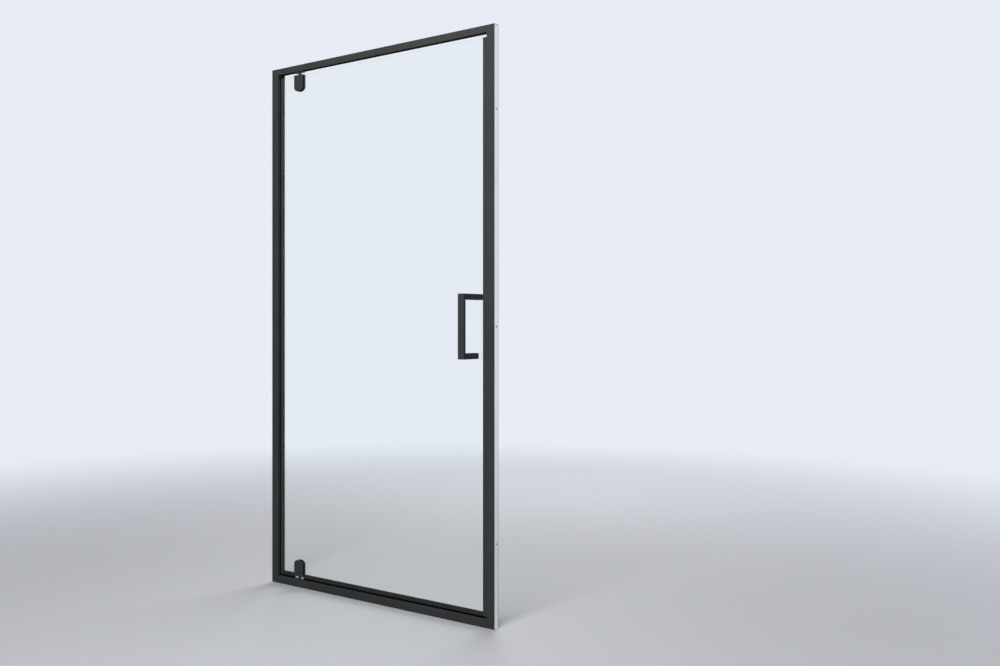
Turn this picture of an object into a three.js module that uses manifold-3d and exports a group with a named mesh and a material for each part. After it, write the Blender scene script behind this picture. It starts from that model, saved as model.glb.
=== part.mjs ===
// Alcove shower door: a glass leaf that turns on two pivots in an aluminium frame.
// Millimetres, +Z up. The origin is the middle of the threshold's underside, +X points to the strike jamb
// and -Y points out of the shower, the way the leaf opens. Everything is drawn with the door closed.
import * as THREE from 'three';
import { mergeVertices } from 'three/addons/utils/BufferGeometryUtils.js';
import Module from 'manifold-3d';

// The alcove opening that the frame fills, wall to wall and tray to frame top
const openingWidth = 1000;
const openingHeight = 1850;

// Clearances
const fit = 0.3; // round a piece that is pushed into a hole, a groove or another profile
const seat = 0.2; // between two faces that are pressed together
const running = 0.2; // between a pivot pin and the bush that turns on it
const sealGap = 0.4; // between a seal on the moving leaf and the frame
const overrun = 5; // how far a cutting solid runs past the face that it opens

// Steps round a full turn, round the half ellipse of a hinge block, and round a quarter turn
const pivotSteps = 32;
const screwSteps = 16;
const blockSteps = 24;
const roundSteps = 4;

// Frame profiles
const frameDepth = 21;
const frameWall = 1.5;
const jambFace = 30;
const jambRound = 1; // radius of the front edge that faces the doorway
const headerFace = 22;
const headerBevel = { rise: 0.5, depth: 0.5 };
const thresholdFace = 27.5;
const thresholdBevel = { rise: 4, depth: 1.5 }; // slanted strip along the front top edge
const troughDepth = 5; // of the trough along each rail's doorway face
const rimWidth = 3; // on both sides of the trough
const portBlock = 7; // side of the solid square inside a rail that takes its end screws

// Wall channels inside the jambs
const channelWall = 1.5;
const channelReach = 22;
const wallHoleRadius = 3;
const wallHoleShares = [0.14, 0.5, 0.86]; // of the frame height

// Caps on the jambs
const capPlate = 1.5;
const capTongue = 12;

// Glass leaf
const glassThickness = 6;
const headerGap = 12.5; // from the glass to the header
const thresholdGap = 9.5; // from the glass to the threshold

// Trims and seals on the leaf's upright edges
const trimDepth = 10;
const hingeTrimWidth = 9.5;
const strikeTrimWidth = 8.5;
const trimWeb = 4; // solid part of a trim, between its outer face and the glass
const grooveMouth = 3; // mouth of the groove that holds the seal's foot
const grooveWidth = 5.2;
const grooveLip = 1.1;
const grooveFoot = 1.5;
const hingeSealSpace = 10.5; // from the hinge trim to the hinge jamb
const bulbDepth = 7.6;
const bulbWall = 1.1;
const leafSealWidth = 4.4;
const jambSealWidth = 4;
const magnetWidth = 7;
const magnetThickness = 2;
const sealEndGap = 1; // from the moulded end of a leaf seal to the rail

// Bottom seal
const bottomSealTop = 44.5; // above the tray
const bottomSealFoot = 33; // above the tray
const finThickness = 1.2;
const finSlant = 2.4; // how far the fin leans into the shower

// Pivots and hinge blocks
const pivotInset = 102.7; // from the hinge jamb to the pivot axis
const blockOverhang = 1; // how far the hinge block stands past the edge of the glass
const blockWidth = 44.5;
const blockLength = 58.5;
const blockRound = 15; // rise of the half ellipse that ends the block
const blockBevel = 1.6;
const clampPlate = 3.8;
const gasketThickness = 0.8;
const coreWidth = 22; // middle of the block, which fills the notch in the glass
const coreLength = 36; // from the edge of the glass
const pinRadius = 5;
const pinDepth = 20; // past the edge of the glass
const pinStubRadius = 3;
const pinStubLength = 6; // below the floor of the rail's trough
const pinChamfer = 1;
const bushWall = 1.3;
const bushEnd = 2; // thickness of the bush's closed end, which the tip of the pin meets
const basePlateLength = 44;
const basePlateWidth = 12;
const basePlateCorner = 3;
const lowerPlateProud = 1.5; // how far the base plate stands out of the rail's trough
const upperPlateProud = 4.4;
const plateScrewSpacing = 30;
const plateScrewReach = 3; // past the rail's wall
const clampScrewSpacing = 14;
const clampScrewHeight = 30; // from the edge of the glass
const clampScrewSkin = 1; // left in front of the blind end of a clamp screw

// Handle
const handleInset = 43.6; // from the glass's strike edge to the middle of the handle
const handleHeight = openingHeight / 2; // middle of the handle above the tray
const handleLength = 202;
const handleWidth = 24;
const handleBar = 10; // thickness of the upright bar
const handleArm = 18.5; // height of each of the two arms
const handleReach = 62.5; // from the glass to the front of the bar
const handleChamfer = 0.8;
const knobLength = 30;
const capThickness = 7.5;
const padThickness = 1;
const padMargin = 0.5; // how far a pad stays inside the outline of the handle's foot
const sleeveWall = 1.2;
const boltRadius = 3;
const boltGrip = 14; // inside the handle
const studGrip = 12; // inside the knob

// Screws: the head's radius and height, and the shank's radius
const plateScrew = { headRadius: 3.6, headHeight: 1.8, shankRadius: 1.75 };
const clampScrew = { headRadius: 4.6, headHeight: 2.2, shankRadius: 2.5 };
const handleBolt = { headRadius: 5, headHeight: 2.5, shankRadius: boltRadius };
const railScrew = { headRadius: 3.4, headHeight: 2.2, shankRadius: 1.9 };
const lockScrew = { headRadius: 3.6, headHeight: 1.9, shankRadius: 1.9 };
const railScrewGrip = 24; // inside the rail
const lockScrewReach = 3; // past the wall channel's leg
const lockScrewInset = 11; // from the wall
const lockScrewShares = [0.07, 0.46, 0.93]; // of the frame height
const socketSides = 6;
const socketShare = 0.5; // of the head's radius
const socketDepthShare = 0.55; // of the head's height
const domeShare = 0.7; // of a pan head's radius, where its flat top starts
const rimShare = 0.5; // of a pan head's height, where its rim ends
const tipShare = 0.6; // of the shank's radius, at its tip

// Places that follow from the sizes above
const halfWidth = openingWidth / 2;
const halfDepth = frameDepth / 2;
const jambInner = halfWidth - jambFace;
const jambTop = openingHeight - capPlate - seat;
const headerUnderside = openingHeight - headerFace;
const railEnd = jambInner - seat;
const pivotX = pivotInset - jambInner;
const glassBottom = thresholdFace + thresholdGap;
const glassTop = headerUnderside - headerGap;
const glassFace = glassThickness / 2;
const trimFace = trimDepth / 2;
const hingeTrimOuter = hingeSealSpace - jambInner;
const jambSealInner = jambInner - seat - jambSealWidth;
const leafSealOuter = jambSealInner - sealGap;
const strikeTrimOuter = leafSealOuter - leafSealWidth - seat;
const glassLeft = hingeTrimOuter + trimWeb + fit;
const glassRight = strikeTrimOuter - trimWeb - fit;
const gasketOuter = glassFace + seat + gasketThickness;
const clampInner = gasketOuter + seat;
const clampFace = clampInner + clampPlate;
const bushRadius = pinRadius + running + bushWall;
const bushTop = pinDepth + running + bushEnd;
const handleX = glassRight - handleInset;
const footFace = glassFace + seat + padThickness + seat;
const handleFront = glassFace + handleReach;
const handleFixings = {
  upper: handleHeight + (handleLength - handleArm) / 2,
  lower: handleHeight - (handleLength - handleArm) / 2,
};
const sleeveInner = boltRadius + fit;
const sleeveOuter = sleeveInner + sleeveWall;

// Finishes
const finish = {
  black: new THREE.MeshStandardMaterial({ color: 0x353837, roughness: 0.45, metalness: 0.4 }),
  hardware: new THREE.MeshStandardMaterial({ color: 0x343637, roughness: 0.4, metalness: 0.5 }),
  aluminium: new THREE.MeshStandardMaterial({ color: 0xb4b8ba, roughness: 0.5, metalness: 0.9 }),
  steel: new THREE.MeshStandardMaterial({ color: 0xa5a7a8, roughness: 0.35, metalness: 1 }),
  glass: new THREE.MeshStandardMaterial({
    color: 0xe4eeec,
    roughness: 0.03,
    metalness: 0,
    transparent: true,
    opacity: 0.25,
  }),
  rubber: new THREE.MeshStandardMaterial({ color: 0x1b1c1c, roughness: 0.75, metalness: 0 }),
  magnet: new THREE.MeshStandardMaterial({ color: 0x2a2624, roughness: 0.7, metalness: 0.1 }),
  blackNylon: new THREE.MeshStandardMaterial({ color: 0x202121, roughness: 0.55, metalness: 0 }),
};

const wasm = await Module();
wasm.setup();

// A closed geometry as a solid that can be cut and joined
function solidOf(geometry) {
  const bare = geometry.clone();
  bare.deleteAttribute('normal');
  bare.deleteAttribute('uv');
  const merged = mergeVertices(bare);
  const vertProperties = new Float32Array(merged.attributes.position.array);
  const triVerts = new Uint32Array(merged.index.array);
  return new wasm.Manifold(new wasm.Mesh({ numProp: 3, vertProperties, triVerts }));
}

function geometryOf(solid) {
  const mesh = solid.getMesh();
  const geometry = new THREE.BufferGeometry();
  geometry.setAttribute('position', new THREE.BufferAttribute(new Float32Array(mesh.vertProperties), 3));
  geometry.setIndex(new THREE.BufferAttribute(new Uint32Array(mesh.triVerts), 1));
  geometry.computeVertexNormals();
  return geometry;
}

function cut(geometry, tools) {
  const solids = tools.map(solidOf);
  return geometryOf(solids.reduce((left, tool) => left.subtract(tool), solidOf(geometry)));
}

// Boxes and rods between two places along an axis
function box([left, right], [front, back], [bottom, top]) {
  const geometry = new THREE.BoxGeometry(right - left, back - front, top - bottom);
  return geometry.translate((left + right) / 2, (front + back) / 2, (bottom + top) / 2);
}

function rod(axis, radius, [from, to], steps = screwSteps) {
  const geometry = new THREE.CylinderGeometry(radius, radius, to - from, steps);
  geometry.translate(0, (from + to) / 2, 0);
  if (axis === 'x') geometry.rotateZ(-Math.PI / 2);
  if (axis === 'z') geometry.rotateX(Math.PI / 2);
  return geometry;
}

// A profile turned about Z: pairs of a radius and a height, listed from the bottom to the top
function turned(profile, steps) {
  const points = profile.map(([radius, height]) => new THREE.Vector2(radius, height));
  return new THREE.LatheGeometry(points, steps).rotateX(Math.PI / 2);
}

function ring(innerRadius, outerRadius, [bottom, top], steps) {
  const corners = [
    [innerRadius, bottom],
    [outerRadius, bottom],
    [outerRadius, top],
    [innerRadius, top],
    [innerRadius, bottom],
  ];
  return turned(corners, steps);
}

// An outline carried along an axis. Along z it is drawn in X and Y, along x in Y and Z, along y in X and Z.
const alongAxis = {
  x: new THREE.Matrix4().makeBasis(
    new THREE.Vector3(0, 1, 0),
    new THREE.Vector3(0, 0, 1),
    new THREE.Vector3(1, 0, 0),
  ),
  y: new THREE.Matrix4().makeBasis(
    new THREE.Vector3(1, 0, 0),
    new THREE.Vector3(0, 0, 1),
    new THREE.Vector3(0, -1, 0),
  ),
  z: new THREE.Matrix4(),
};

function extrude(outline, axis, [from, to], chamfer = 0) {
  const geometry = new THREE.ExtrudeGeometry(outline, {
    depth: to - from - 2 * chamfer,
    curveSegments: screwSteps,
    bevelEnabled: chamfer > 0,
    bevelSize: chamfer,
    bevelThickness: chamfer,
    bevelOffset: -chamfer,
    bevelSegments: 1,
  });
  geometry.translate(0, 0, chamfer);
  geometry.applyMatrix4(alongAxis[axis]);
  const start = { x: [from, 0, 0], y: [0, to, 0], z: [0, 0, from] };
  return geometry.translate(...start[axis]);
}

// An outline is listed either way round and always drawn anticlockwise
function outlineOf(points, holes = []) {
  const corners = points.map(([u, v]) => new THREE.Vector2(u, v));
  const shape = new THREE.Shape(THREE.ShapeUtils.isClockWise(corners) ? corners.reverse() : corners);
  shape.holes = holes;
  return shape;
}

function pathOf(points) {
  return new THREE.Path(points.map(([u, v]) => new THREE.Vector2(u, v)));
}

function circle(u, v, radius) {
  return new THREE.Path().absarc(u, v, radius, 0, 2 * Math.PI);
}

function rectangle([left, right], [bottom, top]) {
  const corners = [
    [left, bottom],
    [right, bottom],
    [right, top],
    [left, top],
  ];
  return corners;
}

function ellipse([u, v], [halfU, halfV], [start, end], steps) {
  const points = [];
  for (let i = 0; i <= steps; i += 1) {
    const angle = start + ((end - start) * i) / steps;
    points.push([u + halfU * Math.cos(angle), v + halfV * Math.sin(angle)]);
  }
  return points;
}

// Quarter turn about a centre, from straight along v to straight along u, each the given way
function quarterRound([u, v], radius, [wayU, wayV]) {
  const points = [];
  for (let i = 0; i <= roundSteps; i += 1) {
    const angle = ((Math.PI / 2) * i) / roundSteps;
    points.push([u + wayU * radius * Math.sin(angle), v + wayV * radius * Math.cos(angle)]);
  }
  return points;
}

function addPiece(group, name, geometry, material, place = [0, 0, 0], turn = [0, 0, 0]) {
  const mesh = new THREE.Mesh(geometry, material);
  mesh.name = name;
  mesh.position.set(...place);
  mesh.rotation.set(...turn);
  group.add(mesh);
  return mesh;
}

// Screws stand head up: a flat head lies in the plane z = 0, and a pan head rests on it
function flatHeadProfile({ headRadius, headHeight, shankRadius, length }) {
  const tip = shankRadius * tipShare;
  return [
    [0, -length],
    [tip, -length],
    [shankRadius, tip - length],
    [shankRadius, -headHeight],
    [headRadius, 0],
    [0, 0],
  ];
}

function panHeadProfile({ headRadius, headHeight, shankRadius, length }) {
  const tip = shankRadius * tipShare;
  return [
    [0, -length],
    [tip, -length],
    [shankRadius, tip - length],
    [shankRadius, 0],
    [headRadius, 0],
    [headRadius, headHeight * rimShare],
    [headRadius * domeShare, headHeight],
    [0, headHeight],
  ];
}

function screw(size, profile, headTop) {
  const depth = size.headHeight * socketDepthShare;
  const span = [headTop - depth, headTop + overrun];
  const socket = rod('z', size.headRadius * socketShare, span, socketSides);
  return cut(turned(profile(size), screwSteps), [socket]);
}

const flatHeadScrew = (size) => screw(size, flatHeadProfile, 0);
const panHeadScrew = (size) => screw(size, panHeadProfile, size.headHeight);

// The hole that a flat-head screw sinks into
function sinkFor({ headRadius, headHeight, shankRadius, length }) {
  const profile = [
    [0, -length - fit],
    [shankRadius + fit, -length - fit],
    [shankRadius + fit, -headHeight],
    [headRadius + fit, 0],
    [headRadius + fit, overrun],
    [0, overrun],
  ];
  return turned(profile, screwSteps);
}

// Which way a screw's head faces
const facing = {
  back: [-Math.PI / 2, 0, 0],
  left: [0, -Math.PI / 2, 0],
  right: [0, Math.PI / 2, 0],
};

const door = new THREE.Group();
const frame = new THREE.Group();
const leaf = new THREE.Group();
door.add(frame, leaf);

// The two sides of the frame, with the way to the wall along X
const sides = [
  { name: 'hinge', way: -1, headFaces: facing.left },
  { name: 'strike', way: 1, headFaces: facing.right },
];

// The two rails, with the heights of their faces and of their end screws
const portCentre = frameWall + portBlock / 2;
const rails = [
  {
    name: 'header',
    doorwayFace: headerUnderside,
    outerFace: openingHeight,
    screwHeight: openingHeight - portCentre,
    bevel: headerBevel,
  },
  {
    name: 'threshold',
    doorwayFace: thresholdFace,
    outerFace: 0,
    screwHeight: portCentre,
    bevel: thresholdBevel,
  },
];

// Wall channel: a U that is screwed to the wall through its web, with its legs inside the jamb
function wallChannel(way) {
  const outside = halfDepth - frameWall - fit;
  const inside = outside - channelWall;
  const web = halfWidth - channelWall;
  const tips = halfWidth - channelReach;
  const section = [
    [halfWidth, -outside],
    [tips, -outside],
    [tips, -inside],
    [web, -inside],
    [web, inside],
    [tips, inside],
    [tips, outside],
    [halfWidth, outside],
  ];
  const profile = outlineOf(section.map(([x, y]) => [way * x, y]));
  const wallHoles = wallHoleShares.map((share) =>
    rod('x', wallHoleRadius, [-overrun, overrun]).translate(way * halfWidth, 0, share * openingHeight),
  );
  return cut(extrude(profile, 'z', [0, jambTop]), [...wallHoles, ...lockHoles(way)]);
}

// Clearance holes of the screws that lock a jamb to its wall channel
function lockHoles(way) {
  const x = way * (halfWidth - lockScrewInset);
  return lockScrewShares.map((share) =>
    rod('y', lockScrew.shankRadius + fit, [0, halfDepth + overrun]).translate(x, 0, share * openingHeight),
  );
}

// Jamb: a C that slides over the wall channel and closes towards the doorway
const jambEdge = quarterRound([jambInner + jambRound, jambRound - halfDepth], jambRound, [-1, -1]);
function jamb(way) {
  const inside = halfDepth - frameWall;
  const web = jambInner + frameWall;
  const section = [
    [halfWidth, -halfDepth],
    ...jambEdge,
    [jambInner, halfDepth],
    [halfWidth, halfDepth],
    [halfWidth, inside],
    [web, inside],
    [web, -inside],
    [halfWidth, -inside],
  ];
  const profile = outlineOf(section.map(([x, y]) => [way * x, y]));
  const railHoles = rails.map(({ screwHeight }) =>
    rod('x', railScrew.shankRadius + fit, [-overrun, overrun]).translate(way * jambInner, 0, screwHeight),
  );
  return cut(extrude(profile, 'z', [0, jambTop]), [...railHoles, ...lockHoles(way)]);
}

// Cap: a plate on top of the jamb, with a tongue between the legs of the wall channel
function jambCap(way) {
  const corners = [
    [halfWidth, -halfDepth],
    ...jambEdge,
    [jambInner, halfDepth],
    [halfWidth, halfDepth],
  ];
  const outline = outlineOf(corners.map(([x, y]) => [way * x, y]));
  const tongueHalf = halfDepth - frameWall - 2 * fit - channelWall;
  const tongueEnds = [halfWidth - channelReach, halfWidth - channelWall - fit];
  const tongueSpan = tongueEnds.map((x) => way * x).sort((a, b) => a - b);
  const plateBottom = openingHeight - capPlate;
  const plate = extrude(outline, 'z', [plateBottom, openingHeight]);
  const tongueTop = plateBottom + capPlate / 2;
  const tongue = box(tongueSpan, [-tongueHalf, tongueHalf], [plateBottom - capTongue, tongueTop]);
  return geometryOf(solidOf(plate).add(solidOf(tongue)));
}

const lockScrewLength = frameWall + fit + channelWall + lockScrewReach;
const railScrewLength = frameWall + seat + railScrewGrip;
for (const { name, way, headFaces } of sides) {
  addPiece(frame, `${name}_wall_channel`, wallChannel(way), finish.aluminium);
  addPiece(frame, `${name}_jamb`, jamb(way), finish.black);
  addPiece(frame, `${name}_jamb_cap`, jambCap(way), finish.blackNylon);
  lockScrewShares.forEach((share, i) => {
    const place = [way * (halfWidth - lockScrewInset), halfDepth, share * openingHeight];
    const lock = panHeadScrew({ ...lockScrew, length: lockScrewLength });
    addPiece(frame, `${name}_lock_screw_${i + 1}`, lock, finish.steel, place, facing.back);
  });
  for (const rail of rails) {
    const place = [way * (jambInner + frameWall), 0, rail.screwHeight];
    const tie = panHeadScrew({ ...railScrew, length: railScrewLength });
    addPiece(frame, `${rail.name}_screw_${name}`, tie, finish.steel, place, headFaces);
  }
}

// Rail: a box section with a trough along its doorway face, and a solid block against its outer wall, bored
// for the end screws. Its front edge is slanted where it faces the doorway.
const outwardsFrom = ({ doorwayFace, outerFace }) => Math.sign(outerFace - doorwayFace);
const troughFloor = (rail) => rail.doorwayFace + outwardsFrom(rail) * troughDepth;
function railProfile(rail) {
  const { doorwayFace, outerFace, screwHeight, bevel } = rail;
  const outwards = outwardsFrom(rail);
  const floor = troughFloor(rail);
  const inside = halfDepth - frameWall;
  const troughHalf = halfDepth - rimWidth;
  const portHalf = portBlock / 2;
  const farSide = floor + outwards * frameWall;
  const blockFoot = outerFace - outwards * frameWall;
  const blockEdge = blockFoot - outwards * portBlock;
  const outside = [
    [halfDepth, outerFace],
    [halfDepth, doorwayFace],
    [troughHalf, doorwayFace],
    [troughHalf, floor],
    [-troughHalf, floor],
    [-troughHalf, doorwayFace],
    [bevel.depth - halfDepth, doorwayFace],
    [-halfDepth, doorwayFace + outwards * bevel.rise],
    [-halfDepth, outerFace],
  ];
  const hollow = [
    [inside, farSide],
    [-inside, farSide],
    [-inside, blockFoot],
    [-portHalf, blockFoot],
    [-portHalf, blockEdge],
    [portHalf, blockEdge],
    [portHalf, blockFoot],
    [inside, blockFoot],
  ];
  const port = circle(0, screwHeight, railScrew.shankRadius + fit);
  return outlineOf(outside, [pathOf(hollow), port]);
}

// Holes in the floor of a rail's trough for the pivot pin and the screws of its base plate
function pivotHoles(floor) {
  const span = [floor - frameWall - overrun / 2, floor + frameWall + overrun / 2];
  const pinHole = rod('z', pinStubRadius + fit, span, pivotSteps).translate(pivotX, 0, 0);
  const screwHoles = [-1, 1].map((way) =>
    rod('z', plateScrew.shankRadius + fit, span).translate(pivotX + (way * plateScrewSpacing) / 2, 0, 0),
  );
  return [pinHole, ...screwHoles];
}

for (const rail of rails) {
  const bar = extrude(railProfile(rail), 'x', [-railEnd, railEnd]);
  addPiece(frame, `${rail.name}_rail`, cut(bar, pivotHoles(troughFloor(rail))), finish.black);
}

// The side seals end in moulded blocks, which close the space between a trim and the rail
const jambSealEnd = [thresholdFace + seat, bottomSealFoot - seat];
const lowerEnd = [thresholdFace + sealEndGap, bottomSealFoot - seat];
const upperEnd = [glassTop + seat, headerUnderside - sealEndGap];
const middleOf = ([low, high]) => (low + high) / 2;
function withEnds(strip, across, spans) {
  const ends = spans.map((span) => solidOf(box(across, [-trimFace, trimFace], span)));
  return geometryOf(ends.reduce((whole, end) => whole.add(end), solidOf(strip)));
}

// Strip seal on the strike jamb, with a magnet strip in its pocket and an end that stands on the threshold
const sealSpan = [bottomSealFoot, glassTop];
function pocketAround(middle) {
  const halfThickness = magnetThickness / 2 + fit;
  const halfPocket = magnetWidth / 2 + fit;
  return pathOf(rectangle([middle - halfThickness, middle + halfThickness], [-halfPocket, halfPocket]));
}

function magnetAt(middle) {
  const across = [middle - magnetThickness / 2, middle + magnetThickness / 2];
  return box(across, [-magnetWidth / 2, magnetWidth / 2], sealSpan);
}

const jambSealMiddle = jambSealInner + jambSealWidth / 2;
const jambSealAcross = [jambSealInner, jambSealInner + jambSealWidth];
const jambSealOutline = outlineOf(
  rectangle(jambSealAcross, [-trimFace, trimFace]),
  [pocketAround(jambSealMiddle)],
);
const jambStrip = extrude(jambSealOutline, 'z', [middleOf(jambSealEnd), glassTop]);
const jambSeal = withEnds(jambStrip, jambSealAcross, [jambSealEnd]);
addPiece(frame, 'jamb_magnet_seal', jambSeal, finish.rubber);
addPiece(frame, 'jamb_magnet', magnetAt(jambSealMiddle), finish.magnet);

// Glass leaf: notched for the cores of the hinge blocks and bored for the handle
const notchHalf = coreWidth / 2 + fit;
const notchDepth = coreLength + fit;
const glassOutline = outlineOf(
  [
    [glassLeft, glassBottom],
    [pivotX - notchHalf, glassBottom],
    [pivotX - notchHalf, glassBottom + notchDepth],
    [pivotX + notchHalf, glassBottom + notchDepth],
    [pivotX + notchHalf, glassBottom],
    [glassRight, glassBottom],
    [glassRight, glassTop],
    [pivotX + notchHalf, glassTop],
    [pivotX + notchHalf, glassTop - notchDepth],
    [pivotX - notchHalf, glassTop - notchDepth],
    [pivotX - notchHalf, glassTop],
    [glassLeft, glassTop],
  ],
  Object.values(handleFixings).map((height) => circle(handleX, height, sleeveOuter + fit)),
);
addPiece(leaf, 'glass_panel', extrude(glassOutline, 'y', [-glassFace, glassFace]), finish.glass);

// Edge trim: a U on the glass with a groove for the seal's foot. It is drawn outwards from its outer face.
const mouthHalf = grooveMouth / 2;
const grooveHalf = grooveWidth / 2;
const grooveDepth = grooveLip + grooveFoot;
function trimSection(width) {
  const slot = glassFace + seat;
  return [
    [0, -trimFace],
    [-width, -trimFace],
    [-width, -slot],
    [-trimWeb, -slot],
    [-trimWeb, slot],
    [-width, slot],
    [-width, trimFace],
    [0, trimFace],
    [0, mouthHalf],
    [-grooveLip, mouthHalf],
    [-grooveLip, grooveHalf],
    [-grooveDepth, grooveHalf],
    [-grooveDepth, -grooveHalf],
    [-grooveLip, -grooveHalf],
    [-grooveLip, -mouthHalf],
    [0, -mouthHalf],
  ];
}

// The foot that a seal pushes into the groove, listed from its back corner to its front corner
const footHalf = grooveHalf - fit;
const neckHalf = mouthHalf - fit;
const footOutline = [
  [seat, neckHalf],
  [-grooveLip - seat, neckHalf],
  [-grooveLip - seat, footHalf],
  [seat - grooveDepth, footHalf],
  [seat - grooveDepth, -footHalf],
  [-grooveLip - seat, -footHalf],
  [-grooveLip - seat, -neckHalf],
  [seat, -neckHalf],
];

const placeAt = (outer, way) => ([u, v]) => [outer + way * u, v];
const onHingeEdge = placeAt(hingeTrimOuter, -1);
const onStrikeEdge = placeAt(strikeTrimOuter, 1);
const hingeTrim = extrude(outlineOf(trimSection(hingeTrimWidth).map(onHingeEdge)), 'z', sealSpan);
const strikeTrim = extrude(outlineOf(trimSection(strikeTrimWidth).map(onStrikeEdge)), 'z', sealSpan);
addPiece(leaf, 'hinge_edge_trim', hingeTrim, finish.black);
addPiece(leaf, 'strike_edge_trim', strikeTrim, finish.black);

// Hinge-edge seal: a hollow bulb that closes the space to the hinge jamb, with an end at the top and the foot
const bulbHalf = (hingeSealSpace - seat - sealGap) / 2;
const bulbMiddle = seat + bulbHalf;
const bulbStart = Math.PI - Math.asin((2 * neckHalf) / bulbDepth);
const bulbOutside = ellipse([bulbMiddle, 0], [bulbHalf, bulbDepth / 2], [-bulbStart, bulbStart], screwSteps);
const bulbInside = ellipse(
  [bulbMiddle, 0],
  [bulbHalf - bulbWall, bulbDepth / 2 - bulbWall],
  [0, 2 * Math.PI * (1 - 1 / screwSteps)],
  screwSteps - 1,
);
const hingeSealOutline = outlineOf([...bulbOutside, ...footOutline.slice(1, -1)].map(onHingeEdge));
const hingeStrip = extrude(hingeSealOutline, 'z', [middleOf(lowerEnd), middleOf(upperEnd)]);
const hingeEndAcross = [hingeTrimOuter - seat - 2 * bulbHalf + sealGap, hingeTrimOuter + hingeTrimWidth];
const bulbHollow = extrude(outlineOf(bulbInside.map(onHingeEdge)), 'z', [0, openingHeight]);
const hingeSeal = cut(withEnds(hingeStrip, hingeEndAcross, [lowerEnd, upperEnd]), [bulbHollow]);
addPiece(leaf, 'hinge_edge_seal', hingeSeal, finish.rubber);

// Closing seal on the strike edge, with an end at the foot, and its magnet facing the one in the jamb
const leafSealEdge = seat + leafSealWidth;
const leafSealMiddle = leafSealOuter - leafSealWidth / 2;
const leafSealSection = [
  ...footOutline,
  [seat, -trimFace],
  [leafSealEdge, -trimFace],
  [leafSealEdge, trimFace],
  [seat, trimFace],
];
const leafSealOutline = outlineOf(leafSealSection.map(onStrikeEdge), [pocketAround(leafSealMiddle)]);
const leafStrip = extrude(leafSealOutline, 'z', [middleOf(lowerEnd), glassTop]);
const strikeEndAcross = [strikeTrimOuter - strikeTrimWidth, leafSealOuter];
const leafSeal = withEnds(leafStrip, strikeEndAcross, [lowerEnd]);
addPiece(leaf, 'door_magnet_seal', leafSeal, finish.rubber);
addPiece(leaf, 'door_magnet', magnetAt(leafSealMiddle), finish.magnet);

// Bottom seal: a U under the glass with a fin that reaches for the threshold. The hinge block parts it.
const finTip = thresholdFace + sealGap;
const slotFloor = glassBottom - fit;
const slotHalf = glassFace + seat;
const bottomSealSection = [
  [-trimFace, bottomSealFoot],
  [0, bottomSealFoot],
  [finSlant, finTip],
  [finSlant + finThickness, finTip],
  [finThickness, bottomSealFoot],
  [trimFace, bottomSealFoot],
  [trimFace, bottomSealTop],
  [slotHalf, bottomSealTop],
  [slotHalf, slotFloor],
  [-slotHalf, slotFloor],
  [-slotHalf, bottomSealTop],
  [-trimFace, bottomSealTop],
];
const blockHalf = blockWidth / 2;
const bottomSeals = [
  {
    name: 'bottom_seal_short',
    span: [hingeTrimOuter + hingeTrimWidth + fit, pivotX - blockHalf - fit],
  },
  {
    name: 'bottom_seal_long',
    span: [pivotX + blockHalf + fit, strikeTrimOuter - strikeTrimWidth - fit],
  },
];
for (const { name, span } of bottomSeals) {
  addPiece(leaf, name, extrude(outlineOf(bottomSealSection), 'x', span), finish.rubber);
}

// Hinge block: a flat end and a half ellipse. It is drawn upwards from the edge of the glass at the pivot.
const blockFoot = -blockOverhang;
const blockEnd = blockLength - blockOverhang;
const blockShoulder = blockEnd - blockRound;
function blockOutline(inset) {
  const radii = [blockHalf - inset, blockRound - inset];
  const rounded = ellipse([0, blockShoulder], radii, [0, Math.PI], blockSteps);
  return [[inset - blockHalf, blockFoot], [blockHalf - inset, blockFoot], ...rounded];
}

const clampBolt = { ...clampScrew, length: 2 * clampFace - clampScrewSkin - fit };
const clampScrewPlaces = [-1, 1].map((way) => [(way * clampScrewSpacing) / 2, clampScrewHeight]);
function clampScrewSink([x, z]) {
  return sinkFor(clampBolt).rotateX(facing.back[0]).translate(x, clampFace, z);
}

function hingeClamps() {
  const whole = solidOf(extrude(outlineOf(blockOutline(0)), 'y', [-clampFace, clampFace], blockBevel));
  const acrossBlock = [-blockWidth, blockWidth];
  const alongBlock = [-blockEnd, 2 * blockEnd];
  const glassRoom = solidOf(box(acrossBlock, [-clampInner, clampInner], alongBlock));
  const coreSpan = [blockFoot - overrun, coreLength];
  const core = solidOf(box([-coreWidth / 2, coreWidth / 2], [-clampFace, clampFace], coreSpan));
  const bushHole = solidOf(rod('z', bushRadius + fit, [blockFoot - overrun, bushTop + fit], pivotSteps));
  const sinks = clampScrewPlaces.map((place) => solidOf(clampScrewSink(place)));
  const bored = [bushHole, ...sinks].reduce(
    (left, tool) => left.subtract(tool),
    whole.subtract(glassRoom.subtract(core)),
  );
  const halfOf = (depths) => geometryOf(bored.intersect(solidOf(box(acrossBlock, depths, alongBlock))));
  return {
    outer: halfOf([-2 * clampFace, -seat / 2]),
    inner: halfOf([seat / 2, 2 * clampFace]),
  };
}

// Gasket: the clamp's outline, open round the core
function gasket() {
  const rim = blockOutline(blockBevel);
  const points = [
    [notchHalf, blockFoot],
    ...rim.slice(1),
    rim[0],
    [-notchHalf, blockFoot],
    [-notchHalf, notchDepth],
    [notchHalf, notchDepth],
  ];
  return extrude(outlineOf(points), 'y', [0, gasketThickness]);
}

// Bush: a cup in the hinge block, whose closed end meets the tip of the pin
function bush() {
  const bore = pinRadius + running;
  const profile = [
    [bore, blockFoot],
    [bushRadius, blockFoot],
    [bushRadius, bushTop],
    [0, bushTop],
    [0, bushTop - bushEnd],
    [bore, bushTop - bushEnd],
    [bore, blockFoot],
  ];
  return turned(profile, pivotSteps);
}

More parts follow.
